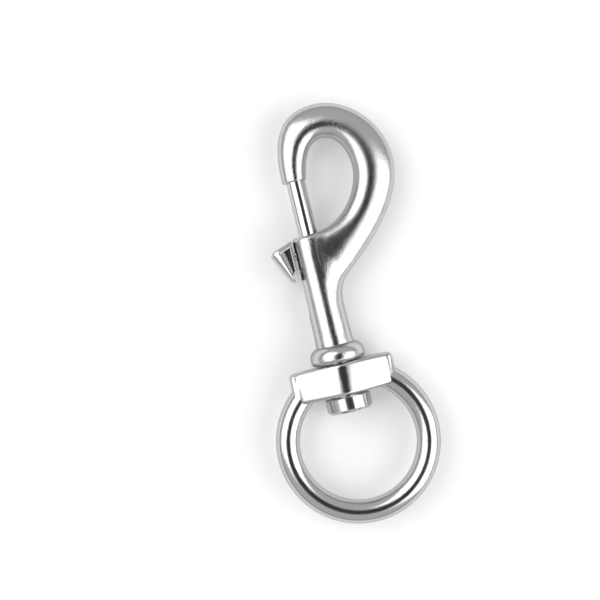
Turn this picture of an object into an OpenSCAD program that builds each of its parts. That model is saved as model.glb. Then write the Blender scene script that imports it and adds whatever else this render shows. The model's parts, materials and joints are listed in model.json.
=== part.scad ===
// Swivel snap hook: a cast hook with a sliding gate bolt, on a ring eye that turns about the barrel's axis.
// Sizes are in millimetres. Each piece is drawn standing, with the swivel axis along Z and the hook's belly
// towards +X, and is then laid on its back, so that the hook points along +Y and its thickness runs up +Z.

/* [Hook] */
// Swivel axis to the outermost point of the hook's belly
hook_reach = 28.6; // [24:0.1:40]
// Seating face of the bead to the top of the hook
hook_top = 73; // [66:0.5:96]
// Opening between the barrel and the hook's tip
gate_gap = 15.7; // [12:0.1:20]
// Width and thickness of the arm at its tip
tip_d = 7; // [6.6:0.1:9]
// Width of the arm at the crown
crown_w = 9.9; // [7:0.1:13]
// Thickness of the arm at the crown
crown_t = 8; // [6:0.1:10]
// Width of the arm at the belly
belly_w = 11.8; // [8:0.1:15]
// Thickness of the arm at the belly
belly_t = 8.5; // [6:0.1:11]
// Height on the barrel at which the arm's outer edge turns down along it
neck_low = 23.9; // [20:0.1:27]
// Squareness of the arm's section at the barrel: 2 is an ellipse, more is flatter on the face
neck_fullness = 2.6; // [2:0.1:3.4]
// Radius on the tip's end edge
tip_round = 0.4; // [0.2:0.1:0.6]

/* [Barrel] */
// Seating face of the bead to the barrel's top
barrel_h = 37; // [34:0.5:44]
// Diameter of the barrel at its top
barrel_top_d = 9.9; // [9.4:0.1:12]
// Diameter of the barrel above its flare
barrel_foot_d = 10.6; // [9.8:0.1:12]
// Height at which the flare into the bead ends
flare_h = 12; // [9:0.5:13]
// Outside diameter of the bead
bead_d = 15.7; // [14:0.1:19]
// Height of the bead
bead_h = 5; // [4.2:0.1:6]
// Radius on the bead's seating edge
bead_foot_round = 1.5; // [0.5:0.1:1.8]
// Radius of the bead's shoulder
bead_shoulder = 2.4; // [1.5:0.1:2.6]
// Radius on the barrel's top edge
barrel_round = 1.2; // [0.3:0.1:1.5]

/* [Bolt] */
// Diameter of the gate bolt
bolt_d = 5.3; // [4:0.1:5.6]
// How far the bolt draws back
bolt_travel = 16; // [10:0.1:16.5]
// How far the closed bolt enters the hook's tip
tip_entry = 0.9; // [0.5:0.1:2]
// Length of the bolt below the middle of its cross hole
bolt_tail = 4; // [3:0.1:5]

/* [Thumb knob] */
// Diameter of the stem that joins the knob to the bolt
stem_d = 2.6; // [2:0.1:3]
// Barrel's top down to the stem
stem_drop = 4.8; // [3.6:0.1:7]
// How far the knob stands out from the swivel axis
knob_reach = 11.8; // [10:0.1:15]
// Breadth of the thumb pad
pad_w = 8.4; // [5:0.1:12]
// Height of the knob from pad tip to collar top
knob_h = 11.2; // [9:0.1:14]
// Height of the collar beside the barrel
collar_h = 8.2; // [7:0.1:10]
// Breadth of the collar
collar_w = 6.4; // [4:0.1:8]
// Thickness of the web between pad and collar
web_t = 2.6; // [1.6:0.1:4]

/* [Spring] */
// Wire diameter
wire_d = 0.5; // [0.3:0.05:0.6]
// Working turns, without the closed turn at each end
spring_turns = 8; // [5:1:9]

/* [Swivel] */
// Diameter of the pin's neck
neck_d = 7; // [6:0.1:8]
// Length of the pin's spigot inside the barrel
spigot_l = 4.5; // [3:0.1:4.8]
// Diameter of the pin's head
pin_head_d = 12.9; // [10:0.1:15]
// Height of the pin's head
pin_head_h = 4.5; // [2:0.1:6]
// Chamfer on the pin's head
pin_chamfer = 0.8; // [0.2:0.1:1.2]

/* [Ring eye] */
// Width of the ring's bar
bar_w = 30; // [24:0.5:36]
// Height of the bar at the swivel pin
bar_h = 9.4; // [7:0.1:12]
// How far each long edge of the bar falls towards its ends
bar_fall = 0.35; // [0:0.05:0.8]
// Thickness of the bar at the swivel pin
bar_t = 13; // [12:0.1:16]
// Slope of the bar's faces towards its ends, in degrees
bar_slope = 14; // [6:1:18]
// Radius on the bar's edges
bar_round = 1.1; // [0.4:0.1:1.6]
// Inside diameter of the ring
ring_inner_d = 35; // [32:0.5:50]
// Diameter of the ring's rod
ring_rod_d = 6; // [4:0.1:8]

/* [Clearances] */
// Radial clearance of a sliding or turning fit
run_fit = 0.08; // [0.02:0.01:0.1]
// Gap between the turning faces of the bead, the bar and the pin's head
face_gap = 0.25; // [0.1:0.05:0.4]
// Gap between the knob's collar and the barrel at its widest
collar_gap = 0.15; // [0.1:0.05:0.4]

/* [Hidden] */
$fn = 96;
cut = 2; // how far a cutting shape runs past the faces that it opens
steel = [0.77, 0.77, 0.78];
bright = [0.84, 0.84, 0.86];

// Barrel and bolt
bore_r = bolt_d / 2 + run_fit;
foot_r = barrel_foot_d / 2;
top_r = barrel_top_d / 2;
flare_step = 0.6; // what the flare adds to the barrel's radius at the bead
tip_z = barrel_h + gate_gap;
bolt_end = tip_z + tip_entry;
stem_z = barrel_h - stem_drop;
tail_z = stem_z - bolt_tail;
slot_play = 0.3; // space past the stem at each end of its slot
slot_w = stem_d + 0.5;
slot_low = stem_z - bolt_travel;
collar_r = foot_r + collar_gap;

// Hook arm: its outer and inner edges run through five places, as [x, z]: tip, crown, belly, neck and root
tip_low = tip_z + tip_round;
tip_mid = -0.3;
crown_x = 0.36 * hook_reach;
belly_z = mix(barrel_h, hook_top, 0.456);
neck_out = [1.72 * top_r, neck_low];
neck_in = [0.46 * top_r, barrel_h + 0.3];
root_out = [foot_r, 0.42 * barrel_h];
root_in = [-0.6 * foot_r, 0.45 * barrel_h];
up = [0, 1];
right = [1, 0];
down = [0, -1];
outer_slope = [-cos(40), -sin(40)];
inner_slope = [-cos(4), -sin(4)];
arm_outer = [
    curve([tip_mid - tip_d / 2, tip_low], [crown_x, hook_top], up, right, 0.62, 0.72),
    curve([crown_x, hook_top], [hook_reach, belly_z], right, down, 0.51, 0.51),
    curve([hook_reach, belly_z], neck_out, down, outer_slope, 0.43, 0.59),
    curve(neck_out, root_out, outer_slope, down, 0.5, 0.53)
];
arm_inner = [
    curve([tip_mid + tip_d / 2, tip_low], [crown_x, hook_top - crown_w], up, right, 0.66, 0.57),
    curve([crown_x, hook_top - crown_w], [hook_reach - belly_w, belly_z], right, down, 0.56, 0.57),
    curve([hook_reach - belly_w, belly_z], neck_in, down, inner_slope, 0.4, 0.6),
    curve(neck_in, root_in, inner_slope, down, 0.6, 0.6)
];
// Sections along the arm: [place, thickness, fullness]
arm_sections = [
    [0, tip_d, 2],
    [1, crown_t, 2],
    [2, belly_t, 2],
    [2.5, belly_t, 2],
    [3, barrel_top_d, neck_fullness],
    [4, 0.6 * barrel_top_d, 2]
];
ARM_SIDES = 36;
ARM_STEPS = 15;

// Ring eye
bar_top = -face_gap;
bar_low = bar_top - bar_h;
head_top = bar_low - face_gap;
ring_r = (ring_inner_d + ring_rod_d) / 2;
ring_over = 0.4; // the ring's full circle would pass this far over the bar
ring_z = bar_top + ring_over - ring_r - ring_rod_d / 2;

// Laid down: middle of the footprint, and the bead as the lowest point
side_mid = (hook_reach - ring_r - ring_rod_d / 2) / 2;
length_mid = (hook_top + ring_z - ring_r - ring_rod_d / 2) / 2;

// Value a share of the way from a to b
function mix(a, b, share) = a + (b - a) * share;

// Same, with a soft start and stop
function ease(a, b, share) = mix(a, b, (1 - cos(180 * share)) / 2);

// Points of an arc about [x, y], ends included
function arc(x, y, r, from, to, steps = 8) =
    [for (i = [0:steps]) let (a = mix(from, to, i / steps)) [x + r * cos(a), y + r * sin(a)]];

// Four control points of a curve from p to q that leaves along u and arrives along v; the pulls are shares
// of the distance that it covers in those directions
function curve(p, q, u, v, pull_p, pull_q) =
    let (d = [abs(q.x - p.x), abs(q.y - p.y)])
    let (reach_p = max(abs(u.x) * d.x, abs(u.y) * d.y), reach_q = max(abs(v.x) * d.x, abs(v.y) * d.y))
    [p, p + u * pull_p * reach_p, q - v * pull_q * reach_q, q];

function on_curve(c, t) =
    pow(1 - t, 3) * c[0] + 3 * pow(1 - t, 2) * t * c[1] + 3 * (1 - t) * t * t * c[2] + pow(t, 3) * c[3];

// Section at place s along the arm, eased between the stations on either side
function section_at(s) =
    let (i = max([for (k = [0:len(arm_sections) - 2]) if (arm_sections[k][0] <= s) k]))
    let (a = arm_sections[i], b = arm_sections[i + 1])
    ease(a, b, (s - a[0]) / (b[0] - a[0]));

// Cosine drawn out to the power p, sign kept
function swell(c, p) = sign(c) * pow(abs(c), p);

// One oval ring of the arm, from edge to edge: s is its place, inset shrinks it and drop lowers it
function arm_ring(s, inset = 0, drop = 0) =
    let (i = min(floor(s), len(arm_outer) - 1), t = s - i)
    let (out = on_curve(arm_outer[i], t), inn = on_curve(arm_inner[i], t), mid = (out + inn) / 2 - [0, drop])
    let (size = section_at(s), h = size[1] / 2 - inset, p = 2 / size[2])
    let (w = norm(inn - out) / 2 - inset, across = (inn - out) / norm(inn - out))
    [for (k = [0:ARM_SIDES - 1])
        let (a = 360 * k / ARM_SIDES, side = w * swell(cos(a), p))
        [mid.x + across.x * side, h * swell(sin(a), p), mid.y + across.y * side]];

// Closed skin over a list of rings with equal counts of points
module skin(rings) {
    n = len(rings[0]);
    last = len(rings) - 1;
    polyhedron(
        points = [for (ring = rings) each ring],
        faces = concat(
            [[for (k = [0:n - 1]) k]],
            [for (i = [0:last - 1], k = [0:n - 1])
                let (a = i * n + k, b = i * n + (k + 1) % n)
                [a, a + n, b]],
            [for (i = [0:last - 1], k = [0:n - 1])
                let (a = i * n + k, b = i * n + (k + 1) % n)
                [b, a + n, b + n]],
            [[for (k = [n - 1:-1:0]) last * n + k]]
        )
    );
}

// Puts a standing piece on its back, with the middle of the footprint at the origin
module lay() {
    translate([-side_mid, -length_mid, bead_d / 2])
        rotate([-90, 0, 0])
            children();
}

// Turned body of the barrel, with its bead, flare and rounded top
module barrel_turning() {
    bead_r = bead_d / 2;
    shoulder_at = [bead_r - bead_shoulder, bead_h - bead_shoulder];
    foot = foot_r + flare_step;
    shoulder_end = acos((foot - shoulder_at.x) / bead_shoulder);
    rotate_extrude()
        polygon(concat(
            [[0, 0]],
            arc(bead_r - bead_foot_round, bead_foot_round, bead_foot_round, -90, 0),
            arc(shoulder_at.x, shoulder_at.y, bead_shoulder, 0, shoulder_end),
            [for (i = [0:6]) [ease(foot, foot_r, i / 6), mix(bead_h, flare_h, i / 6)]],
            arc(top_r - barrel_round, barrel_h - barrel_round, barrel_round, 0, 90),
            [[0, barrel_h]]
        ));
}

// The arm: an oval section carried between its two edges, which grows from the round tip to the flat belly
// and fades out inside the barrel
module hook_arm() {
    skin(concat(
        [for (a = [0:30:60]) arm_ring(0, tip_round * (1 - sin(a)), tip_round * cos(a))],
        [for (i = [0:len(arm_outer) * ARM_STEPS]) arm_ring(i / ARM_STEPS)]
    ));
}

// Slot for the stem, from its highest place to its lowest
module stem_slot() {
    for (z = [slot_low - slot_play, stem_z + slot_play])
        translate([0, 0, z])
            rotate([0, -90, 0])
                cylinder(h = bead_d, d = slot_w);
    translate([-bead_d, -slot_w / 2, slot_low - slot_play])
        cube([bead_d, slot_w, bolt_travel + 2 * slot_play]);
}

module hook_body() {
    color(steel)
        lay()
            difference() {
                union() {
                    barrel_turning();
                    hook_arm();
                }
                translate([0, 0, -cut])
                    cylinder(h = barrel_h + 2 * cut, r = bore_r);
                translate([0, 0, tip_z - cut])
                    cylinder(h = cut + tip_entry + slot_play, r = bore_r);
                stem_slot();
            }
}

module bolt() {
    edge = 0.4;
    color(bright)
        lay()
            difference() {
                rotate_extrude()
                    polygon([
                        [0, tail_z], [bolt_d / 2 - edge, tail_z], [bolt_d / 2, tail_z + edge],
                        [bolt_d / 2, bolt_end - edge], [bolt_d / 2 - edge, bolt_end], [0, bolt_end]
                    ]);
                stem();
            }
}

// Stem from inside the bolt to the collar
module stem() {
    inside = 1.2;
    translate([inside, 0, stem_z])
        rotate([0, -90, 0])
            cylinder(h = inside + collar_r + 0.6, d = stem_d);
}

// Rounded plate between two edges of balls: each edge is [[x, z], ball radius, breadth]
module plate(edges) {
    hull()
        for (e = edges, side = [-1, 1])
            translate([e[0].x, side * (e[2] / 2 - e[1]), e[0].y])
                sphere(r = e[1], $fn = 24);
}

// Upright slab in the plane of the hook, from its outline in [x, z]
module slab(outline, breadth) {
    rotate([90, 0, 0])
        linear_extrude(breadth, center = true)
            polygon(outline);
}

module thumb_knob() {
    nose_r = 1.2;
    toe_r = 0.65;
    rim_r = 0.9;
    // Middles of the balls in the plane of the hook: pad from nose to toe, shelf from nose to heel
    top_z = barrel_h - 0.6;
    nose = [nose_r - knob_reach, top_z - 2.9];
    toe = [-collar_r - 1.9, top_z - knob_h + toe_r];
    heel = [-collar_r - 0.1, top_z - rim_r];
    collar_foot = [heel.x, top_z - collar_h + rim_r];
    // Thickness of the pad's root along the shelf
    root_t = 2.9;
    color(steel)
        lay() {
            difference() {
                union() {
                    // Pad that the thumb pulls, and the shelf from its nose to the collar
                    plate([[nose, nose_r, pad_w], [toe, toe_r, pad_w - 1.6]]);
                    plate([[nose + [0, nose_r - rim_r], rim_r, pad_w - 1], [heel, rim_r, collar_w]]);
                    // Collar beside the barrel
                    plate([[heel, rim_r, collar_w], [collar_foot, rim_r, collar_w - 1]]);
                    // Foot of the pad, and the thin web behind it
                    slab([nose, nose + [root_t, root_t / 4], toe + [toe_r, root_t], toe], pad_w - 3);
                    slab([nose, heel, collar_foot - [0, rim_r / 3], toe + [0, root_t / 2]], web_t);
                }
                cylinder(h = barrel_h, r = collar_r);
            }
            stem();
        }
}

// Helical wire with a closed turn at each end, between the pin's spigot and the bolt's tail
module spring() {
    steps = 14;
    sides = 8;
    seat_gap = 0.05;
    coil_r = bore_r - wire_d / 2 - 0.2;
    closed = wire_d * 1.1;
    low = spigot_l + wire_d / 2 + seat_gap;
    rise = tail_z - wire_d / 2 - seat_gap - low;
    pitch = (rise - 2 * closed) / spring_turns;
    turns = spring_turns + 2;
    color(bright)
        lay()
            skin([
                for (i = [0:turns * steps])
                    let (t = i / steps, z = low + closed * (min(t, 1) + max(t - turns + 1, 0))
                        + pitch * max(0, min(t - 1, spring_turns)))
                    [for (k = [0:sides - 1])
                        let (a = 360 * k / sides, r = coil_r + wire_d / 2 * cos(a))
                        [r * cos(360 * t), r * sin(360 * t), z + wire_d / 2 * sin(a)]]
            ]);
}

// Headed pin: the neck carries the ring eye, and the spigot is pressed into the barrel and closes its bore
module swivel_pin() {
    head_r = pin_head_d / 2;
    head_low = head_top - pin_head_h;
    lead = 0.4;
    color(steel)
        lay()
            rotate_extrude()
                polygon([
                    [0, head_low], [head_r - pin_chamfer, head_low], [head_r, head_low + pin_chamfer],
                    [head_r, head_top - lead], [head_r - lead, head_top], [neck_d / 2, head_top],
                    [neck_d / 2, 0], [bore_r, 0], [bore_r, spigot_l - lead], [bore_r - lead, spigot_l],
                    [0, spigot_l]
                ]);
}

// Outline of the bar seen along the swivel axis: crowned over the pin, with faces that slope to the ends
module bar_plan() {
    crest = 2.7;
    corner = 2.2;
    edge = [for (i = [-12:12]) let (x = i * bar_w / 24)
        [x, bar_t / 2 - tan(bar_slope) * (norm([x, crest]) - crest)]];
    offset(r = corner)
        offset(delta = -corner)
            polygon(concat(edge, [for (i = [24:-1:0]) [edge[i].x, -edge[i].y]]));
}

// Bar with rounded upper and lower edges, a little taller over the pin than at its ends
module bar() {
    crest_d = neck_d + 4;
    translate([0, 0, (bar_top + bar_low) / 2])
        hull() {
            for (a = [0:30:90])
                linear_extrude(bar_h - 2 * bar_fall - 2 * bar_round * (1 - sin(a)), center = true)
                    offset(delta = bar_round * (cos(a) - 1), $fn = 32)
                        bar_plan($fn = 32);
            cylinder(h = bar_h, d = crest_d, center = true, $fn = 32);
        }
}

module ring_eye() {
    // Half the angle that the bar takes out of the ring
    gap_angle = acos(((bar_top + bar_low) / 2 - ring_z) / ring_r);
    color(steel)
        lay()
            difference() {
                union() {
                    bar();
                    translate([0, 0, ring_z])
                        rotate([90, 0, 0])
                            rotate([0, 0, 90 + gap_angle])
                                rotate_extrude(angle = 360 - 2 * gap_angle)
                                    translate([ring_r, 0])
                                        circle(d = ring_rod_d);
                }
                translate([0, 0, bar_low - cut])
                    cylinder(h = bar_h + 2 * cut, r = neck_d / 2 + run_fit);
            }
}

hook_body();
bolt();
thumb_knob();
spring();
swivel_pin();
ring_eye();
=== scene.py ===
"""Swivel snap hook: a cast hook with a sliding gate bolt and thumb knob, on a ring eye that swivels.

Shapes are worked out round the swivel axis: x runs from the axis towards the hook's belly, y along the axis
from the bead's seating face towards the crown, and z up through the hook's thickness.
"""

import json
import math

import bpy
import numpy as np
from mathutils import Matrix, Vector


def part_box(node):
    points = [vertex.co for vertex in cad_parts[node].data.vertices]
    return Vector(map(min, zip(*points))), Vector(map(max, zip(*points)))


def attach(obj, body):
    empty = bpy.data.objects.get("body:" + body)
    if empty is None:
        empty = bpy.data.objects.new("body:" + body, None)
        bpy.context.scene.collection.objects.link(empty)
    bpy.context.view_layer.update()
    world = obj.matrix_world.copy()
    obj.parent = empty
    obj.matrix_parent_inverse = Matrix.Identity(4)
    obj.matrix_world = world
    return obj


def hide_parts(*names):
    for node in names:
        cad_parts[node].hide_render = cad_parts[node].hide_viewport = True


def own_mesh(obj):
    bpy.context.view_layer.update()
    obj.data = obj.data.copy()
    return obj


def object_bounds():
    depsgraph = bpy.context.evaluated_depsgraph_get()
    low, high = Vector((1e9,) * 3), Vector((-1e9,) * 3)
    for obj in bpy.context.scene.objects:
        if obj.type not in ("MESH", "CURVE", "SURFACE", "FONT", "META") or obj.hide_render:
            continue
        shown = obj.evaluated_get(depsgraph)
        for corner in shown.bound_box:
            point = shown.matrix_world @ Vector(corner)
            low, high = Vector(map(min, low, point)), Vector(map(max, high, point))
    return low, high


bl_info = {
    "name": "Swivel Snap Hook",
    "version": (1, 0, 0),
    "blender": (4, 5, 0),
    "location": "3D View > Sidebar > Snap Hook",
    "description": "Cast snap hook with a sliding gate bolt, on a swivelling ring eye",
    "category": "Add Mesh",
}

MM = 0.001
# Least length that a vector is divided by
TINY = 1e-12

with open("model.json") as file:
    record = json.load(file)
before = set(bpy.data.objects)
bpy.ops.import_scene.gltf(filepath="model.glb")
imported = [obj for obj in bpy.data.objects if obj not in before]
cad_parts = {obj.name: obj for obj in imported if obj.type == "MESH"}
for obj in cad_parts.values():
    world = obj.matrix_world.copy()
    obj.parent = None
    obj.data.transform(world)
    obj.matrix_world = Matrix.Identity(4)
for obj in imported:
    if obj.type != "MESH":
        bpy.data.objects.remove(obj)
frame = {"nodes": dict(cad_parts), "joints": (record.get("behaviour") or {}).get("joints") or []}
cad_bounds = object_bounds()
swivel = next(j for j in frame["joints"] if j["name"] == "eye_swivel")
body_low, body_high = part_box("hook_body")
bolt_low, bolt_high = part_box("bolt")
# Where the swivel axis meets the bead's seating face
HOME = np.array([swivel["pos_m"][0], body_low.y, swivel["pos_m"][2]])


def length(name, default, description):
    """A size in metres, shown with the scene's length unit."""
    return bpy.props.FloatProperty(
        name=name, default=default, description=description, unit="LENGTH", subtype="DISTANCE", precision=5
    )


def angle(name, degrees, description):
    """An angle, shown in degrees."""
    return bpy.props.FloatProperty(
        name=name, default=math.radians(degrees), description=description, subtype="ANGLE"
    )


def level(name, default, description):
    """A plain number from nought upwards."""
    return bpy.props.FloatProperty(name=name, default=default, description=description, min=0.0, precision=3)


def colour(name, default, description):
    """A linear colour."""
    return bpy.props.FloatVectorProperty(
        name=name, default=default, description=description, subtype="COLOR", size=3, min=0.0, max=1.0
    )


class HookSizes(bpy.types.PropertyGroup):
    """Sizes of the cast hook and its barrel."""

    reach: length("Reach", body_high.x - HOME[0], "Swivel axis to the outermost point of the belly")
    top: length("Top", body_high.y - HOME[1], "Seating face to the top of the hook")
    gate_gap: length("Gate gap", 15.7 * MM, "Opening between the barrel and the hook's tip")
    tip_d: length("Tip diameter", 7.0 * MM, "Diameter of the arm at its tip")
    crown_w: length("Crown width", 9.9 * MM, "Width of the arm at the crown")
    crown_t: length("Crown thickness", 8.0 * MM, "Thickness of the arm at the crown")
    belly_w: length("Belly width", 11.8 * MM, "Width of the arm at the belly")
    belly_t: length("Belly thickness", 8.5 * MM, "Thickness of the arm at the belly")
    lean: level("Crest lean", 0.1, "Share of the width by which the crest stands nearer the inner edge")
    neck_low: length("Neck height", 23.9 * MM, "Height at which the arm's outer edge turns down the barrel")
    neck_fullness: level("Neck fullness", 2.6, "Squareness of the section at the barrel: 2 is an ellipse")
    neck_flatness: level("Neck flatness", 3.5, "Squareness of the half of the section that meets the barrel")
    barrel_h: length("Barrel height", 37.0 * MM, "Seating face to the barrel's top")
    barrel_top_d: length("Barrel top", 9.9 * MM, "Diameter of the barrel at its top")
    barrel_foot_d: length("Barrel foot", 10.6 * MM, "Diameter of the barrel above its flare")
    flare: length("Flare", 0.12 * MM, "What the flare adds to the barrel's radius at the bead")
    flare_h: length("Flare height", 8.5 * MM, "Height at which the flare ends")
    bead_d: length("Bead diameter", 2 * (HOME[2] - cad_bounds[0].z), "Outside diameter of the bead")
    bead_h: length("Bead height", 5.0 * MM, "Height of the bead")
    bead_foot: length("Bead foot", 1.2 * MM, "Radius on the bead's seating edge")
    bead_shoulder: length("Bead shoulder", 3.0 * MM, "Radius of the bead's shoulder")
    barrel_round: length("Barrel rounding", 1.2 * MM, "Radius on the barrel's top edge")
    fillet: length("Fillet", 2.0 * MM, "How far the fillet between arm and barrel spreads")
    bore_d: length("Bore", (bolt_high.z - bolt_low.z) + 0.16 * MM, "Diameter of the bolt's bore")
    slot_w: length("Slot width", 3.1 * MM, "Width of the slot for the knob's stem")
    slot_low: length("Slot start", 15.9 * MM, "Lowest point of the slot's straight part")
    slot_high: length("Slot end", 32.5 * MM, "Highest point of the slot's straight part")


class KnobSizes(bpy.types.PropertyGroup):
    """Sizes of the thumb knob."""

    pad_w: length("Pad breadth", 8.4 * MM, "Breadth of the thumb pad")
    nose_t: length("Nose", 2.85 * MM, "Thickness of the pad at its nose")
    toe_t: length("Toe", 1.15 * MM, "Thickness of the pad at its toe")
    pad_end: length("Pad end rounding", 1.3 * MM, "How far the pad's ends are rounded")
    pad_side: length("Pad side rounding", 1.7 * MM, "How far the pad's sides are rounded")
    collar_w: length("Collar breadth", 6.6 * MM, "Breadth of the collar beside the barrel")
    edge: length("Edge radius", 0.25 * MM, "Rounding of the plate's edges")
    web_t: length("Web", 1.6 * MM, "Thickness of the web behind the pad")
    stem_d: length("Stem", 2.6 * MM, "Diameter of the stem that joins knob and bolt")
    stem_y: length("Stem height", 32.2 * MM, "Seating face to the stem")


class RingSizes(bpy.types.PropertyGroup):
    """Sizes of the ring eye."""

    bar_w: length("Bar width", 30.0 * MM, "Width of the ring's bar")
    bar_h: length("Bar height", 9.4 * MM, "Height of the bar at the swivel pin")
    bar_fall: length("Bar fall", 0.35 * MM, "How far each long edge falls towards its ends")
    bar_t: length("Bar thickness", 13.6 * MM, "Thickness of the bar at the swivel pin")
    bar_slope: angle("Bar slope", 15.5, "Slope of the bar's faces")
    crest: length("Crest", 1.5 * MM, "Rounding of the crest over the pin")
    corner: length("Corner", 1.5 * MM, "Rounding of the bar's upright corners")
    edge: length("Edge radius", 1.1 * MM, "Rounding of the bar's edges")
    inner_d: length("Ring inside", 33.4 * MM, "Inside diameter of the ring")
    rod_d: length("Rod", 6.8 * MM, "Diameter of the ring's rod")
    over: length("Overrun", 0.4 * MM, "How far the ring's full circle would pass over the bar")
    face_gap: length("Face gap", 0.25 * MM, "Gap between the bar and the bead")
    pin_hole: length("Pin hole", 7.16 * MM, "Diameter of the hole for the swivel pin")


class SpringSizes(bpy.types.PropertyGroup):
    """Sizes of the bolt's spring."""

    wire: length("Wire", 0.5 * MM, "Wire diameter")
    turns: bpy.props.IntProperty(name="Turns", default=8, description="Turns between the closed ends")


class Finish(bpy.types.PropertyGroup):
    """Colours and textures of the steel."""

    cast: colour("Cast steel", (0.62, 0.62, 0.63), "Polished casting")
    turned: colour("Turned steel", (0.66, 0.66, 0.67), "Turned and ground parts")
    wire: colour("Spring wire", (0.66, 0.66, 0.68), "Drawn spring wire")
    gloss: level("Casting roughness", 0.15, "Roughness of the polished casting")
    edge_tint: level("Edge tint", 0.55, "How much of its light the steel keeps at a grazing angle")
    grain: length("Grain", 0.4 * MM, "Size of the casting's grain")
    grain_depth: length("Grain depth", 0.058 * MM, "Height of the casting's grain")
    waves: length("Waves", 5.0 * MM, "Size of the slow waves that hand polishing leaves")
    wave_depth: length("Wave depth", 0.03 * MM, "Height of the polishing waves")


class Studio(bpy.types.PropertyGroup):
    """Floor, light and camera."""

    floor: colour("Floor", (0.88, 0.88, 0.88), "Pale floor")
    floor_lift: level("Floor lift", 0.13, "What the floor adds to itself as background")
    box_level: level("Softboxes", 1.7, "Radiance of the softboxes")
    box_turn: angle("Softbox turn", -28.7, "Heading of the right softbox")
    room_level: level("Room", 0.74, "Radiance of the room's walls")
    horizon_level: level("Horizon", 0.45, "Radiance of the room low down")
    ceiling_level: level("Ceiling", 0.045, "Radiance of the dark ceiling over the object")
    camera_height: length("Camera height", 0.41, "Lens to the swivel axis")
    view_width: length("View width", 0.1712, "Width of the view at the swivel axis")
    roll: angle("Roll", 13.66, "Turn of the hook in the view")


# Curves and profiles


def unit(vectors):
    """Vectors along the last axis, each divided by its length."""
    return vectors / np.maximum(np.linalg.norm(vectors, axis=-1, keepdims=True), TINY)


def direction(degrees):
    """Unit vector at an angle from x."""
    return np.array([math.cos(math.radians(degrees)), math.sin(math.radians(degrees))])


def curve(p, q, leave, arrive, pull_p, pull_q):
    """Four control points of a curve from p to q that leaves along one direction and arrives along another.
    Each pull is a share of the distance that the curve covers in its direction."""
    p, q, leave, arrive = (np.asarray(v, float) for v in (p, q, leave, arrive))
    span = np.abs(q - p)
    after_p = p + leave * pull_p * np.abs(leave * span).max()
    before_q = q - arrive * pull_q * np.abs(arrive * span).max()
    return np.array([p, after_p, before_q, q])


def along(stretches, s):
    """Points at places s on a chain of cubic curves: (1-t)^3 a + 3 (1-t)^2 t b + 3 (1-t) t^2 c + t^3 d,
    where t is the place within its stretch."""
    i = np.minimum(s.astype(int), len(stretches) - 1)
    t = (s - i)[:, None]
    a, b, c, d = np.moveaxis(np.asarray(stretches)[i], 1, 0)
    return (1 - t) ** 3 * a + 3 * (1 - t) ** 2 * t * b + 3 * (1 - t) * t**2 * c + t**3 * d


def eased(places, values, s):
    """Values at places s, from stations that are joined by half cosine waves."""
    i = np.clip(np.searchsorted(places, s, side="right") - 1, 0, len(places) - 2)
    share = (s - places[i]) / (places[i + 1] - places[i])
    return values[i] + (values[i + 1] - values[i]) * (1 - np.cos(np.pi * np.clip(share, 0, 1))) / 2


def raised(values, power):
    """Values raised to a power, with their signs kept."""
    return np.sign(values) * np.abs(values) ** power


def arc(x, y, r, start, end, steps=16):
    """Points of an arc about (x, y): (x + r cos a, y + r sin a), angles in degrees."""
    a = np.radians(np.linspace(start, end, steps + 1))
    return np.stack([x + r * np.cos(a), y + r * np.sin(a)], 1)


def rounded(corners, steps=8):
    """Closed outline with rounded corners. Each corner is (x, y, radius): the arc touches both of its
    sides, from radius / tan(half the corner's angle) before the corner to as far after it."""
    corners = np.asarray(corners, float)
    at, r = corners[:, :2], corners[:, 2:]
    to_last, to_next = unit(np.roll(at, 1, 0) - at), unit(np.roll(at, -1, 0) - at)
    half = np.arccos(np.clip((to_last * to_next).sum(1, keepdims=True), -1, 1)) / 2
    middle = at + unit(to_last + to_next) * r / np.sin(half)
    start = at + to_last * r / np.tan(half) - middle
    end = at + to_next * r / np.tan(half) - middle
    share = np.linspace(0, 1, steps + 1)[None, :, None]
    chord = start[:, None] * (1 - share) + end[:, None] * share
    chord *= r[:, None] / np.maximum(np.linalg.norm(chord, axis=2, keepdims=True), TINY)
    return (middle[:, None] + chord).reshape(-1, 2)


def inset(outline, by):
    """Closed outline moved inwards along its normals; it runs anticlockwise."""
    step = unit(np.roll(outline, -1, 0) - np.roll(outline, 1, 0))
    return outline + by * np.stack([-step[:, 1], step[:, 0]], 1)


# Grids of points


def grid(x, y, z):
    """Grid of points (row, column, xyz) from coordinates that run over its rows, its columns or both."""
    return np.stack(np.broadcast_arrays(x, y, z), -1)


def turned(profile, sides=128):
    """Grid of a profile (radius, y) turned about the swivel axis: (r cos a, y, r sin a)."""
    a = np.linspace(0, 2 * np.pi, sides, endpoint=False)
    r, y = profile[:, :1], profile[:, 1:]
    return grid(r * np.cos(a), y, r * np.sin(a))


def slab(outline, half, edge, steps=6):
    """Grid of an upright plate with rounded edges: the outline (x, y) stands at z from half to -half, and
    towards each face it is inset by edge (1 - cos a) while z gains edge sin a. half may differ from point
    to point."""
    a = np.radians(np.linspace(90, -90, 2 * steps + 1))
    a = np.concatenate([a[: steps + 1], a[steps:]])
    side = np.sign(steps + 0.5 - np.arange(len(a)))
    flat = np.broadcast_to(half, len(outline)) - edge
    rows = []
    for angle_up, sign in zip(a, side):
        loop = inset(outline, edge * (1 - np.cos(angle_up)))
        rows.append(np.c_[loop, sign * flat + edge * np.sin(angle_up)])
    return np.array(rows)


def grid_normals(rows):
    """Outward unit normals of a grid of loops: the cross product of its steps along and around."""
    return unit(np.cross(np.gradient(rows, axis=0), np.roll(rows, -1, 1) - np.roll(rows, 1, 1)))


# Meshes


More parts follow.
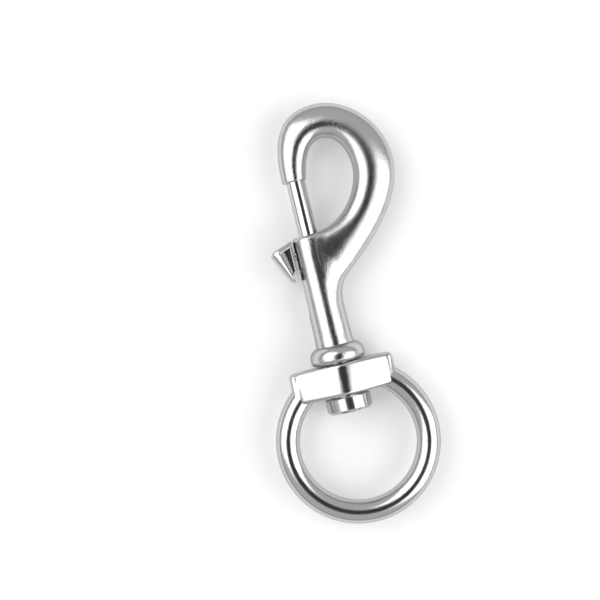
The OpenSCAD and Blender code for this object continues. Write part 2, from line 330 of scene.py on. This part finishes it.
def skin(rows):
    """Points and faces of a closed mesh over a grid whose rows are loops: a quad joins each point to its
    neighbours in the next row. Each end is shut flat with one face."""
    count, sides = rows.shape[:2]
    a = np.arange(count - 1)[:, None] * sides + np.arange(sides)[None]
    b = np.arange(count - 1)[:, None] * sides + np.roll(np.arange(sides), -1)[None]
    faces = np.stack([a, a + sides, b + sides, b], -1).reshape(-1, 4).tolist()
    first, last = list(range(sides)), list(range((count - 1) * sides, count * sides))
    return rows.reshape(-1, 3), faces + [first, last[::-1]]


def mesh_object(name, rows):
    """New object at the origin, with the closed mesh over a grid of points in its place."""
    points, faces = skin(rows)
    mesh = bpy.data.meshes.new(name)
    mesh.from_pydata(points + HOME, [], faces)
    mesh.validate()
    piece = bpy.data.objects.new(name, mesh)
    bpy.context.scene.collection.objects.link(piece)
    return piece


def combine(piece, name, rows, operation="UNION"):
    """The piece's mesh becomes its union with, or difference from, the closed mesh over a grid of
    points."""
    other = mesh_object(name, rows)
    modifier = piece.modifiers.new(operation.lower(), "BOOLEAN")
    modifier.operation = operation
    modifier.solver = "MANIFOLD"
    modifier.object = other
    bpy.context.view_layer.update()
    result = bpy.data.meshes.new_from_object(piece.evaluated_get(bpy.context.evaluated_depsgraph_get()))
    piece.modifiers.clear()
    if len(result.polygons) == 0:
        raise RuntimeError(f"{piece.name}: the {operation.lower()} with {name} came out empty")
    used = piece.data
    piece.data = result
    result.name = piece.name
    bpy.data.meshes.remove(used)
    bpy.data.objects.remove(other)


def drill(piece, name, diameter, low, high, sides=96):
    """Bores the piece about the swivel axis, from one height to another."""
    r = diameter / 2
    combine(piece, name, turned(np.array([[r, low], [r, high]]), sides), "DIFFERENCE")


def smooth(piece, crease=32):
    """Smooth shading, with edges sharper than crease degrees kept crisp."""
    mesh = piece.data
    mesh.polygons.foreach_set("use_smooth", np.ones(len(mesh.polygons), bool))
    mesh.set_sharp_from_angle(angle=math.radians(crease))
    mesh.update()


def finish_piece(piece, material, body, node):
    """Gives a finished piece its material and body, and hides the CAD node that it stands for."""
    piece.data.materials.clear()
    piece.data.materials.append(material)
    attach(piece, body)
    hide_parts(node)
    return piece


# Materials


class Nodes:
    """Short way to add shader nodes to one tree. An input is given a value or another node's output."""

    def __init__(self, tree):
        tree.nodes.clear()
        self.tree = tree

    def add(self, kind, inputs=None, **settings):
        node = self.tree.nodes.new(kind)
        for name, value in settings.items():
            setattr(node, name, value)
        self.fill(node, inputs or {})
        return node

    def fill(self, node, inputs):
        for socket, value in inputs.items():
            if isinstance(value, bpy.types.NodeSocket):
                self.tree.links.new(value, node.inputs[socket])
            else:
                node.inputs[socket].default_value = value


def new_material(name):
    """Node material with a bare metallic surface; gives the material, its nodes and the shader."""
    material = bpy.data.materials.new(name)
    material.use_nodes = True
    nodes = Nodes(material.node_tree)
    shader = nodes.add("ShaderNodeBsdfPrincipled", {"Metallic": 1.0})
    nodes.add("ShaderNodeOutputMaterial", {"Surface": shader.outputs["BSDF"]})
    return material, nodes, shader


def noise(nodes, place, scale, detail=2.0, roughness=0.5):
    """Noise between 0 and 1 that changes about scale times in a metre."""
    inputs = {"Vector": place, "Scale": scale, "Detail": detail, "Roughness": roughness}
    return nodes.add("ShaderNodeTexNoise", inputs).outputs["Fac"]


def wandering(nodes, source, low, high):
    """Value that goes from low to high with the middle range of a noise."""
    inputs = {"Value": source, "From Min": 0.3, "From Max": 0.7, "To Min": low, "To Max": high}
    return nodes.add("ShaderNodeMapRange", inputs).outputs["Result"]


def shaded(nodes, base, spread, source):
    """Base colour that a noise between 0 and 1 makes up to the given share darker."""
    full, dark = (tuple(c * share for c in base) + (1.0,) for share in (1, 1 - spread))
    mix = nodes.add("ShaderNodeMix", {"Factor": source, "A": full, "B": dark}, data_type="RGBA")
    return mix.outputs["Result"]


def cast_steel(finish, name="cast_steel_polished", grain_share=1.0):
    """Casting, tumbled and polished: fine grain, slow polishing waves, and a gloss that wanders a little.
    The grain share scales the height of the grain."""
    material, nodes, shader = new_material(name)
    place = nodes.add("ShaderNodeTexCoord").outputs["Object"]
    grain = noise(nodes, place, 1 / finish.grain, detail=2.0, roughness=0.55)
    waves = noise(nodes, place, 1 / finish.waves, detail=1.5, roughness=0.4)
    patches = noise(nodes, place, 0.4 / finish.waves, detail=3.0, roughness=0.6)
    slow = {"Height": waves, "Strength": 1.0, "Distance": finish.wave_depth}
    fine = {"Height": grain, "Strength": 1.0, "Distance": grain_share * finish.grain_depth}
    fine["Normal"] = nodes.add("ShaderNodeBump", slow).outputs["Normal"]
    nodes.fill(shader, {
        "Base Color": shaded(nodes, finish.cast, 0.1, patches),
        "Roughness": wandering(nodes, patches, 0.85 * finish.gloss, 1.25 * finish.gloss),
        "Normal": nodes.add("ShaderNodeBump", fine).outputs["Normal"],
        "Specular Tint": (finish.edge_tint,) * 3 + (1.0,),
    })
    return material


def thumb_steel(finish):
    """Thumb knob: the casting's steel, rubbed nearly smooth."""
    return cast_steel(finish, "thumb_steel_polished", grain_share=0.3)


def ring_steel(finish):
    """Ring eye: the casting's steel with a shallower grain."""
    return cast_steel(finish, "ring_steel_polished", grain_share=0.4)


def turned_steel(finish, mark_scale=5200.0, mark_depth=0.002 * MM, patch_scale=240.0):
    """Turned and ground bar: fine rings about the swivel axis and a slight wander in gloss."""
    material, nodes, shader = new_material("turned_steel_bright")
    place = nodes.add("ShaderNodeTexCoord").outputs["Object"]
    # Noise drawn out across the axis makes rings about it
    stretch = nodes.add("ShaderNodeMapping", {"Vector": place, "Scale": (0.12, 1.0, 0.12)}).outputs["Vector"]
    rings = noise(nodes, stretch, mark_scale, roughness=0.6)
    marks = nodes.add("ShaderNodeBump", {"Height": rings, "Strength": 1.0, "Distance": mark_depth})
    nodes.fill(shader, {
        "Base Color": shaded(nodes, finish.turned, 0.08, rings),
        "Roughness": wandering(nodes, noise(nodes, place, patch_scale), 0.12, 0.18),
        "Normal": marks.outputs["Normal"],
        "Specular Tint": (finish.edge_tint,) * 3 + (1.0,),
    })
    return material


def spring_wire(finish, streak_scale=3000.0):
    """Drawn wire: dull streaks along the coil."""
    material, nodes, shader = new_material("spring_wire_drawn")
    streaks = noise(nodes, nodes.add("ShaderNodeTexCoord").outputs["Object"], streak_scale)
    nodes.fill(shader, {
        "Base Color": shaded(nodes, finish.wire, 0.2, streaks),
        "Roughness": wandering(nodes, streaks, 0.22, 0.34),
    })
    return material


def material_of(name, make, finish):
    """The named material, made the first time it is asked for."""
    return bpy.data.materials.get(name) or make(finish)


# Hook body


def arm_edges(hook):
    """Outer and inner edge of the arm, from tip over crown, belly and neck to the root in the barrel."""
    tip_mid, tip_y = -0.3 * MM, hook.barrel_h + hook.gate_gap
    crown_x = 0.36 * hook.reach
    belly_y = hook.barrel_h + 0.456 * (hook.top - hook.barrel_h)
    top_r, foot_r = hook.barrel_top_d / 2, hook.barrel_foot_d / 2
    crown_out, crown_in = (crown_x, hook.top), (crown_x, hook.top - hook.crown_w)
    belly_out, belly_in = (hook.reach, belly_y), (hook.reach - hook.belly_w, belly_y)
    neck_out, neck_in = (1.72 * top_r, hook.neck_low), (0.46 * top_r, hook.barrel_h + 0.3 * MM)
    root_out, root_in = (0.98 * foot_r, 0.42 * hook.barrel_h), (-0.45 * foot_r, 0.5 * hook.barrel_h)
    up, right, down = (0, 1), (1, 0), (0, -1)
    nearly_up, steeply_down, nearly_left = direction(9)[::-1], -direction(40), -direction(4)
    outer = [
        curve((tip_mid - hook.tip_d / 2, tip_y), crown_out, up, right, 0.68, 0.72),
        curve(crown_out, belly_out, right, down, 0.51, 0.51),
        curve(belly_out, neck_out, down, steeply_down, 0.43, 0.59),
        curve(neck_out, root_out, steeply_down, down, 0.5, 0.53),
    ]
    inner = [
        curve((tip_mid + hook.tip_d / 2, tip_y), crown_in, nearly_up, right, 0.66, 0.57),
        curve(crown_in, belly_in, right, down, 0.56, 0.57),
        curve(belly_in, neck_in, down, nearly_left, 0.4, 0.6),
        curve(neck_in, root_in, nearly_left, down, 0.6, 0.6),
    ]
    return outer, inner


def arm_sections(hook):
    """Sections of the arm, one to a row: place along the edges, thickness, fullness of the outer and of the
    inner half, where 2 is an ellipse, and how much of the lean the crest has."""
    top_d, foot_d, full, flat = hook.barrel_top_d, hook.barrel_foot_d, hook.neck_fullness, hook.neck_flatness
    return np.array([
        (0, hook.tip_d, 2, 2, 0.4),
        (1, hook.crown_t, 2, 2, 1),
        (2, hook.belly_t, 2, 2, 1),
        (2.5, hook.belly_t, 2, 2, 1),
        (3, 0.96 * top_d, full, 0.86 * flat, 1.4),
        (3.5, 0.92 * foot_d, full, flat, 1.2),
        (3.75, 0.9 * foot_d, 0.9 * full, 0.86 * flat, 0.9),
        (4, 0.86 * foot_d, 2, 0.72 * flat, 0.3),
    ])


def arm_grid(hook, steps=60, sides=128, lip_steps=6):
    """Rings of the arm: between the edges, x and y run over half the width times cos a, and z over half the
    thickness times sin a, each raised to 2 / fullness with its sign kept. The crest is moved inwards by the
    lean times the width times sin^2 a. Angles are closer together near the edges and crests, by the
    bunching times sin 4t. A lip rounds the tip's end edge."""
    outer, inner = arm_edges(hook)
    lip, lip_fade, bunching = 0.4 * MM, 3, 0.15
    roll = np.radians(np.linspace(0, 90, lip_steps + 1))[:-1]
    s = np.concatenate([np.zeros(lip_steps), np.linspace(0, len(outer), len(outer) * steps + 1)])
    shrink = np.concatenate([lip * (1 - np.sin(roll)), np.zeros(len(s) - lip_steps)])[:, None]
    # The first stretch starts one lip above the tip's end, and is back on its edges a third of the way along
    fading = lip * np.maximum(0, 1 - s[lip_steps:] * lip_fade)
    lift = np.concatenate([lip * (1 - np.cos(roll)), fading])[:, None]
    outside, inside = along(outer, s), along(inner, s)
    outside[:, 1:] += lift
    inside[:, 1:] += lift
    middle, across = (outside + inside) / 2, inside - outside
    width = np.linalg.norm(across, axis=1, keepdims=True)
    places, *columns = arm_sections(hook).T
    thick, full_out, full_in, lean = (eased(places, column, s)[:, None] for column in columns)
    t = np.linspace(0, 2 * np.pi, sides, endpoint=False)[None]
    a = t - bunching * np.sin(4 * t)
    power = 2 / np.where(np.cos(a) > 0, full_in, full_out)
    side = (width / 2 - shrink) * raised(np.cos(a), power) + hook.lean * lean * width * np.sin(a) ** 2
    x, y = (middle[:, i : i + 1] + across[:, i : i + 1] / width * side for i in (0, 1))
    return grid(x, y, (thick / 2 - shrink) * raised(np.sin(a), power))


def barrel_profile(hook, flare_steps=12, taper_steps=59):
    """Half section of the barrel, as (radius, y): seating edge, bead, shoulder, flare and rounded top."""
    bead_r, foot_r, top_r = hook.bead_d / 2, hook.barrel_foot_d / 2, hook.barrel_top_d / 2
    # Radii of the flat faces that shut the ends, which the bore goes through
    low_face, high_face = 0.6 * hook.bore_d, 0.3 * hook.bore_d
    shoulder_x, shoulder_y = bead_r - hook.bead_shoulder, hook.bead_h - hook.bead_shoulder
    foot = foot_r + hook.flare
    shoulder_end = math.degrees(math.acos((foot - shoulder_x) / hook.bead_shoulder))
    share = np.linspace(0, 1, flare_steps + 1)
    flare_r = foot + (foot_r - foot) * (1 - np.cos(np.pi * share)) / 2
    flare = np.c_[flare_r, hook.bead_h + (hook.flare_h - hook.bead_h) * share]
    taper = np.linspace(0, 1, taper_steps + 1)[1:-1, None]
    crown = arc(top_r - hook.barrel_round, hook.barrel_h - hook.barrel_round, hook.barrel_round, 0, 90)
    return np.vstack([
        [[low_face, 0]],
        arc(bead_r - hook.bead_foot, hook.bead_foot, hook.bead_foot, -90, 0),
        arc(shoulder_x, shoulder_y, hook.bead_shoulder, 0, shoulder_end),
        flare,
        flare[-1] * (1 - taper) + crown[0] * taper,
        crown,
        [[high_face, hook.barrel_h]],
    ])


def fillet_rise(points, normals, others, other_normals, spread, start):
    """How far points of one surface rise to meet the other surface: (reach - gap)^2 / (4 reach) where the
    gap is less than the reach, which is the spread times the sine of the angle between the two. The gap is
    measured along the other surface's normal at its nearest point. The rise grows from nothing at the start
    height to its full size half as high again."""
    # Keeps the division defined where the two surfaces face the same way
    hair = 1e-9
    nearest = ((others**2).sum(1) - 2 * points @ others.T).argmin(1)
    gap = np.abs(((points - others[nearest]) * other_normals[nearest]).sum(1))
    reach = spread * np.linalg.norm(np.cross(normals, other_normals[nearest]), axis=1) + hair
    share = np.clip(2 * (points[:, 1] / start - 1), 0, 1)
    return share**2 * (3 - 2 * share) * np.clip(reach - gap, 0, None) ** 2 / (4 * reach)


def hook_body(hook):
    """Arm and barrel, each swollen towards the other for a fillet, then joined, bored and slotted."""
    arm, barrel = arm_grid(hook), turned(barrel_profile(hook))
    # What the fillet can reach of the arm and of the barrel
    low_arm = (arm[..., 1] < hook.barrel_h + 2 * hook.fillet) & (arm[..., 0] < 1.5 * hook.barrel_foot_d)
    high_barrel = barrel[..., 1] > hook.flare_h
    arm_near, barrel_near = arm[low_arm], barrel[high_barrel]
    arm_normals, barrel_normals = grid_normals(arm)[low_arm], grid_normals(barrel)[high_barrel]
    spread, start = hook.fillet, 0.35 * hook.barrel_h
    arm_rise = fillet_rise(arm_near, arm_normals, barrel_near, barrel_normals, spread, start)
    barrel_rise = fillet_rise(barrel_near, barrel_normals, arm_near, arm_normals, spread, start)
    arm[low_arm] += arm_normals * arm_rise[:, None]
    barrel[high_barrel] += barrel_normals * barrel_rise[:, None]
    piece = mesh_object("hook_casting", barrel)
    combine(piece, "arm", arm)
    # The bore also clears the neck over the barrel, and goes on as a shallow socket in the tip
    over, neck_clear, socket_depth = 1 * MM, 3 * MM, 1.2 * MM
    tip_y = hook.barrel_h + hook.gate_gap
    drill(piece, "bore", hook.bore_d, -over, hook.barrel_h + neck_clear)
    drill(piece, "socket", hook.bore_d, tip_y - over, tip_y + socket_depth)
    r = hook.slot_w / 2
    stadium = np.vstack([arc(0, hook.slot_high, r, 0, 180), arc(0, hook.slot_low, r, 180, 360)])
    x = np.array([[-hook.bead_d], [0.0]])
    combine(piece, "slot", grid(x, stadium[:, 1], stadium[:, 0]), "DIFFERENCE")
    smooth(piece)
    return piece


# Thumb knob


def thumb_pad(knob, steps=10):
    """Grid of the pad, a cushion on a slanting plane. Its plan runs v down the slant and z across the
    breadth. As a goes from 0 to 90 degrees it stands width(v) sin a out of the plane, and its rim draws in
    by the rounding times 1 - cos a."""
    top, toe = np.array([-9.55, 35.05]) * MM, np.array([-6.55, 24.95]) * MM
    corner, half = 1 * MM, knob.pad_w / 2
    run = np.linalg.norm(toe - top)
    down = (toe - top) / run
    out = np.array([down[1], -down[0]])
    plan = rounded([(0, -half, corner), (0, half, corner), (run, half, corner), (run, -half, corner)])
    a = np.linspace(0, np.pi / 2, steps)[:, None]
    draw = 1 - np.cos(a)
    v = run / 2 + (plan[:, 0] - run / 2) * (1 - draw * knob.pad_end / (run / 2))
    z = plan[:, 1] * (1 - draw * knob.pad_side / half)
    width = (knob.nose_t + (knob.toe_t - knob.nose_t) * v / run) * np.sin(a)
    x, y = (top[i] + down[i] * v + out[i] * width for i in (0, 1))
    return grid(x, y, z)


def add_plate(piece, name, corners, edge, half, at=(0, 0), fall=0.0):
    """Joins an upright plate to the piece. Its corners are (x, y, radius) and the place at is (x, y), both
    in millimetres. It is half thick each way at that place, and its faces fall towards the upper right."""
    # Direction of the fall
    right, up = 0.48, 0.877
    outline = rounded(np.array(corners) * MM)
    x, y = outline.T - np.array(at)[:, None] * MM
    combine(piece, name, slab(outline, half - fall * (right * x + up * y), edge))


def thumb_knob(knob):
    """The pad, the shelf over it, the collar at the barrel, a ledge behind the pad, the web in the recess,
    and the stem."""
    piece = mesh_object("thumb_lever", thumb_pad(knob))
    # How far the shelf and the ledge stand back from the pad's sides, and how steeply faces fall
    shelf_back, ledge_back = 0.1 * MM, 1.25 * MM
    pad_fall, collar_fall = 0.17, 0.14
    web_edge = 0.2 * MM
    shelf = [(-5.3, 36.45, 0.3), (-10.5, 34.62, 0.4), (-10.2, 33.2, 0.3), (-5.3, 34.95, 0.2)]
    collar = [(-5.35, 28.1, 0.2), (-5.2, 36.5, 0.3), (-6.1, 36.16, 0.3), (-6.1, 28.1, 0.2)]
    ledge = [(-9.6, 34.2, 0.2), (-7.2, 26.0, 0.2), (-6.6, 28.5, 0.3), (-7.8, 34.6, 0.2)]
    web = [(-9.6, 34.4, 0.2), (-7.0, 26.8, 0.3), (-5.6, 28.5, 0.2), (-5.6, 35.2, 0.2)]
    add_plate(piece, "shelf", shelf, knob.edge, knob.pad_w / 2 - shelf_back, (-10.2, 33.2), pad_fall)
    add_plate(piece, "collar", collar, knob.edge, knob.collar_w / 2, (-5.6, 32), collar_fall)
    add_plate(piece, "ledge", ledge, 2 * knob.edge, knob.pad_w / 2 - ledge_back, (-8, 30), pad_fall)
    add_plate(piece, "web", web, web_edge, knob.web_t / 2)
    # The stem runs from inside the collar, through the slot, into the bolt
    x, r = np.array([[-6.0], [-5.2], [-1.2]]) * MM, knob.stem_d / 2
    a = np.linspace(0, 2 * np.pi, 48, endpoint=False)
    combine(piece, "stem", grid(x, knob.stem_y + r * np.sin(a), r * np.cos(a)))
    smooth(piece)
    return piece


# Ring eye


def ring_bar(ring, steps=40, rings=8):
    """The bar. Its plan (x, z) has rounded corners and is crowned over the pin: half the thickness falls by
    tan(slope) (sqrt(x^2 + crest^2) - crest). Its edges are rounded, and then rings of points close in on
    the middle of the upper and the lower face, whose height falls with x squared."""

    def height(loop):
        return ring.bar_h / 2 - ring.bar_fall * (2 * loop[:, 0] / ring.bar_w) ** 2

    half = ring.bar_w / 2
    x = np.linspace(-1, 1, steps + 1) * half
    z = ring.bar_t / 2 - math.tan(ring.bar_slope) * (np.hypot(x, ring.crest) - ring.crest)
    signs = ((-1, -1), (1, -1), (1, 1), (-1, 1))
    corners = rounded([(right * half, up * z[0], ring.corner) for right, up in signs])
    quarter = len(corners) // 4
    # Points of the long faces keep clear of the corners' arcs
    clear = 1.3 * ring.corner
    between = np.abs(x) < half - clear
    plan = np.vstack([
        corners[:quarter],
        np.c_[x, -z][between],
        corners[quarter : 3 * quarter],
        np.c_[x, z][between][::-1],
        corners[3 * quarter :],
    ])
    rows = []
    for a in np.radians(np.linspace(0, 90, rings + 1)):
        loop = inset(plan, ring.edge * (1 - np.cos(a)))
        rows.append(np.c_[loop[:, 0], height(loop) - ring.edge * (1 - np.sin(a)), loop[:, 1]])
    for share in np.linspace(0, 1, rings + 1)[1:-1]:
        smaller = loop * (1 - share)
        rows.append(np.c_[smaller[:, 0], height(smaller), smaller[:, 1]])
    upper = np.array(rows)
    both = np.concatenate([(upper * [1, -1, 1])[::-1], upper])
    return both + [0, -ring.face_gap - ring.bar_h / 2, 0]


def ring_rod(ring, steps=200, sides=56):
    """The ring: a circle of the rod's radius carried round the ring's middle, ending inside the bar."""
    r, rod = (ring.inner_d + ring.rod_d) / 2, ring.rod_d / 2
    y = -ring.face_gap + ring.over - r - rod
    gap = math.acos((-ring.face_gap - ring.bar_h / 2 - y) / r)
    u = np.linspace(np.pi / 2 + gap, 5 * np.pi / 2 - gap, steps)[:, None]
    v = np.linspace(0, 2 * np.pi, sides, endpoint=False)[None]
    wide = r + rod * np.cos(v)
    return grid(wide * np.cos(u), y + wide * np.sin(u), rod * np.sin(v))


def ring_eye(ring):
    """Bar and ring joined, with the hole for the swivel pin."""
    piece = mesh_object("ring_casting", ring_bar(ring))
    combine(piece, "ring", ring_rod(ring))
    over = 2 * MM
    drill(piece, "hole", ring.pin_hole, -ring.bar_h - over, over)
    smooth(piece)
    return piece


# Spring


def coil_spring(spring, steps=40, sides=14):
    """A circle of the wire's radius carried round a helix whose first and last turns are closed; it fills
    the length and breadth of the spring in the frame."""
    low, high = (np.array(c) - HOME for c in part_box("spring"))
    wire, turns = spring.wire / 2, spring.turns + 2
    coil = (high[2] - low[2]) / 2 - wire
    closed = 1.1 * spring.wire
    rise = high[1] - low[1] - spring.wire
    pitch = (rise - 2 * closed) / spring.turns
    t = np.linspace(0, turns, turns * steps + 1)[:, None]
    closed_turns = np.minimum(t, 1) + np.maximum(t - turns + 1, 0)
    y = low[1] + wire + closed * closed_turns + pitch * np.clip(t - 1, 0, spring.turns)
    v = np.linspace(0, 2 * np.pi, sides, endpoint=False)[None]
    wide, a = coil + wire * np.cos(v), 2 * np.pi * t
    piece = mesh_object("coil_spring", grid(wide * np.sin(a), y + wire * np.sin(v), wide * np.cos(a)))
    smooth(piece, crease=60)
    return piece


# Operators


class SNAPHOOK_OT_stage(bpy.types.Operator):
    """Add the floor, the room, the softboxes and the camera"""

    bl_idname = "snaphook.stage"
    bl_label = "Stage"

    def execute(self, context):
        studio = context.scene.snap_studio
        add_floor(studio)
        add_room(context.scene, studio)
        add_softboxes(studio)
        add_camera(context.scene, studio)
        context.scene.view_settings.view_transform = "Standard"
        return {"FINISHED"}


class SNAPHOOK_OT_hook_body(bpy.types.Operator):
    """Add the cast hook with its barrel"""

    bl_idname = "snaphook.hook_body"
    bl_label = "Hook body"

    def execute(self, context):
        steel = material_of("cast_steel_polished", cast_steel, context.scene.snap_finish)
        finish_piece(hook_body(context.scene.snap_hook), steel, "hook", "hook_body")
        return {"FINISHED"}


class SNAPHOOK_OT_thumb_knob(bpy.types.Operator):
    """Add the thumb knob"""

    bl_idname = "snaphook.thumb_knob"
    bl_label = "Thumb knob"

    def execute(self, context):
        steel = material_of("thumb_steel_polished", thumb_steel, context.scene.snap_finish)
        finish_piece(thumb_knob(context.scene.snap_knob), steel, "gate", "thumb_knob")
        return {"FINISHED"}


class SNAPHOOK_OT_ring_eye(bpy.types.Operator):
    """Add the ring eye"""

    bl_idname = "snaphook.ring_eye"
    bl_label = "Ring eye"

    def execute(self, context):
        steel = material_of("ring_steel_polished", ring_steel, context.scene.snap_finish)
        finish_piece(ring_eye(context.scene.snap_ring), steel, "eye", "ring_eye")
        return {"FINISHED"}


class SNAPHOOK_OT_spring(bpy.types.Operator):
    """Add the bolt's spring at rest, on a mesh of its own; nothing here shortens it as the bolt is drawn
    back
    """

    bl_idname = "snaphook.spring"
    bl_label = "Spring"

    def execute(self, context):
        wire = material_of("spring_wire_drawn", spring_wire, context.scene.snap_finish)
        spring = finish_piece(coil_spring(context.scene.snap_spring), wire, "hook", "spring")
        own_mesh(spring)
        return {"FINISHED"}


class SNAPHOOK_OT_turned_parts(bpy.types.Operator):
    """Finish the gate bolt and the swivel pin"""

    bl_idname = "snaphook.turned_parts"
    bl_label = "Bolt and swivel pin"

    def execute(self, context):
        steel = material_of("turned_steel_bright", turned_steel, context.scene.snap_finish)
        for node in ("bolt", "swivel_pin"):
            for slot in frame["nodes"][node].material_slots:
                slot.material = steel
        return {"FINISHED"}


class SNAPHOOK_PT_panel(bpy.types.Panel):
    """Sizes and pieces of the snap hook"""

    bl_idname = "SNAPHOOK_PT_panel"
    bl_label = "Swivel Snap Hook"
    bl_space_type = "VIEW_3D"
    bl_region_type = "UI"
    bl_category = "Snap Hook"

    def draw(self, context):
        for operator in OPERATORS:
            self.layout.operator(operator.bl_idname)
        for group in GROUPS:
            box = self.layout.box()
            settings = getattr(context.scene, group)
            for name in settings.bl_rna.properties.keys():
                if name not in ("rna_type", "name"):
                    box.prop(settings, name)


GROUPS = {
    "snap_hook": HookSizes,
    "snap_knob": KnobSizes,
    "snap_ring": RingSizes,
    "snap_spring": SpringSizes,
    "snap_finish": Finish,
    "snap_studio": Studio,
}
OPERATORS = (
    SNAPHOOK_OT_stage,
    SNAPHOOK_OT_hook_body,
    SNAPHOOK_OT_thumb_knob,
    SNAPHOOK_OT_ring_eye,
    SNAPHOOK_OT_spring,
    SNAPHOOK_OT_turned_parts,
)


# Stage


def add_floor(studio):
    """Wide pale floor under the object. Its own light shows to the camera and in reflections only."""
    half, low = 2.0, cad_bounds[0].z
    corners = [(-half, -half, low), (half, -half, low), (half, half, low), (-half, half, low)]
    mesh = bpy.data.meshes.new("floor")
    mesh.from_pydata(corners, [], [(0, 1, 2, 3)])
    floor = bpy.data.objects.new("floor", mesh)
    bpy.context.scene.collection.objects.link(floor)
    material = bpy.data.materials.new("pale_floor")
    material.use_nodes = True
    nodes = Nodes(material.node_tree)
    rays = nodes.add("ShaderNodeLightPath").outputs
    either = {0: rays["Is Camera Ray"], 1: rays["Is Glossy Ray"]}
    seen = nodes.add("ShaderNodeMath", either, operation="MAXIMUM").outputs[0]
    lift = nodes.add("ShaderNodeMath", {0: seen, 1: studio.floor_lift}, operation="MULTIPLY").outputs[0]
    glow = nodes.add("ShaderNodeEmission", {"Strength": lift}).outputs[0]
    matt = nodes.add("ShaderNodeBsdfDiffuse", {"Color": tuple(studio.floor) + (1.0,)}).outputs[0]
    both = nodes.add("ShaderNodeAddShader", {0: matt, 1: glow}).outputs[0]
    nodes.add("ShaderNodeOutputMaterial", {"Surface": both})
    mesh.materials.append(material)


def add_room(scene, studio):
    """Plain room: grey low down, paler walls, and a dark ceiling over the object."""
    world = bpy.data.worlds.new("room")
    scene.world = world
    world.use_nodes = True
    nodes = Nodes(world.node_tree)
    heading = nodes.add("ShaderNodeTexCoord").outputs["Generated"]
    # Heights are sines of the angle over the horizon, and the walls have their full light from this one up
    wall_height = 0.35
    height = nodes.add("ShaderNodeSeparateXYZ", {"Vector": heading}).outputs["Z"]
    levels = {"To Min": studio.horizon_level, "To Max": studio.room_level}
    climb = {"Value": height, "From Min": 0.0, "From Max": wall_height}
    walls = nodes.add("ShaderNodeMapRange", climb | levels).outputs["Result"]
    # The ceiling's dark patch is round, about a line that leans towards the right softbox. Its rim and the
    # edge of its full dark are cosines of the angle from that line
    rim, core, lean = 0.90, 0.965, math.radians(6)
    across = math.sin(lean)
    middle = (math.cos(studio.box_turn) * across, math.sin(studio.box_turn) * across, math.cos(lean))
    facing = {0: heading, 1: middle}
    nearness = nodes.add("ShaderNodeVectorMath", facing, operation="DOT_PRODUCT").outputs["Value"]
    reach = {"Value": nearness, "From Min": rim, "From Max": core, "To Min": 0.0, "To Max": 1.0}
    ceiling = nodes.add("ShaderNodeMapRange", reach, interpolation_type="SMOOTHSTEP").outputs["Result"]
    blend = {"Factor": ceiling, "A": walls, "B": studio.ceiling_level}
    light = nodes.add("ShaderNodeMix", blend, data_type="FLOAT").outputs["Result"]
    background = nodes.add("ShaderNodeBackground", {"Strength": light}).outputs[0]
    nodes.add("ShaderNodeOutputWorld", {"Surface": background})


def add_softboxes(studio):
    """Two long softboxes above the floor, one on each side of the hook, turned to face it. Each covers the
    angles from start to end, measured from straight up."""
    distance, long_side, above_bead = 0.6, 0.66, 0.02
    middle = HOME + [0, above_bead, 0]
    heading = np.array([math.cos(studio.box_turn), math.sin(studio.box_turn), 0])
    for name, side, start, end in (("softbox_left", -1, 14, 64), ("softbox_right", 1, 24, 77)):
        tilt = side * math.radians((start + end) / 2)
        width = 2 * distance * math.tan(math.radians((end - start) / 2))
        lamp = bpy.data.lights.new(name, "AREA")
        lamp.shape = "RECTANGLE"
        lamp.size, lamp.size_y = width, long_side
        lamp.energy = studio.box_level * math.pi * width * long_side
        box = bpy.data.objects.new(name, lamp)
        bpy.context.scene.collection.objects.link(box)
        box.location = middle + distance * (heading * math.sin(tilt) + [0, 0, math.cos(tilt)])
        box.rotation_euler = (0, tilt, studio.box_turn)


def add_camera(scene, studio):
    """Camera straight over the hook, turned so that the crown leans to the left."""
    lens = bpy.data.cameras.new("camera")
    lens.sensor_width = 36
    lens.lens = lens.sensor_width * studio.camera_height / studio.view_width
    lens.clip_start, lens.clip_end = 0.01, 20
    camera = bpy.data.objects.new("camera", lens)
    scene.collection.objects.link(camera)
    # The bead's middle stands this far right of and below the middle of the view
    right, below, bead_middle = 0.0617 * studio.view_width, 0.0883 * studio.view_width, 2.5 * MM
    cos_roll, sin_roll = math.cos(studio.roll), math.sin(studio.roll)
    view_right, view_up = np.array([cos_roll, -sin_roll, 0]), np.array([sin_roll, cos_roll, 0])
    bead = HOME + [0, bead_middle, 0]
    camera.location = bead - right * view_right + below * view_up + [0, 0, studio.camera_height]
    camera.rotation_euler = (0, 0, -studio.roll)
    scene.camera = camera


def register():
    for group in GROUPS.values():
        bpy.utils.register_class(group)
    for name, group in GROUPS.items():
        setattr(bpy.types.Scene, name, bpy.props.PointerProperty(type=group))
    for operator in OPERATORS:
        bpy.utils.register_class(operator)
    bpy.utils.register_class(SNAPHOOK_PT_panel)


def unregister():
    bpy.utils.unregister_class(SNAPHOOK_PT_panel)
    for operator in reversed(OPERATORS):
        bpy.utils.unregister_class(operator)
    for name, group in reversed(GROUPS.items()):
        delattr(bpy.types.Scene, name)
        bpy.utils.unregister_class(group)


def main():
    """Registers the add-on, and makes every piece."""
    register()
    bpy.ops.snaphook.stage()
    bpy.ops.snaphook.hook_body()
    bpy.ops.snaphook.thumb_knob()
    bpy.ops.snaphook.ring_eye()
    bpy.ops.snaphook.spring()
    bpy.ops.snaphook.turned_parts()
    bpy.context.view_layer.update()


if __name__ == "__main__":
    main()
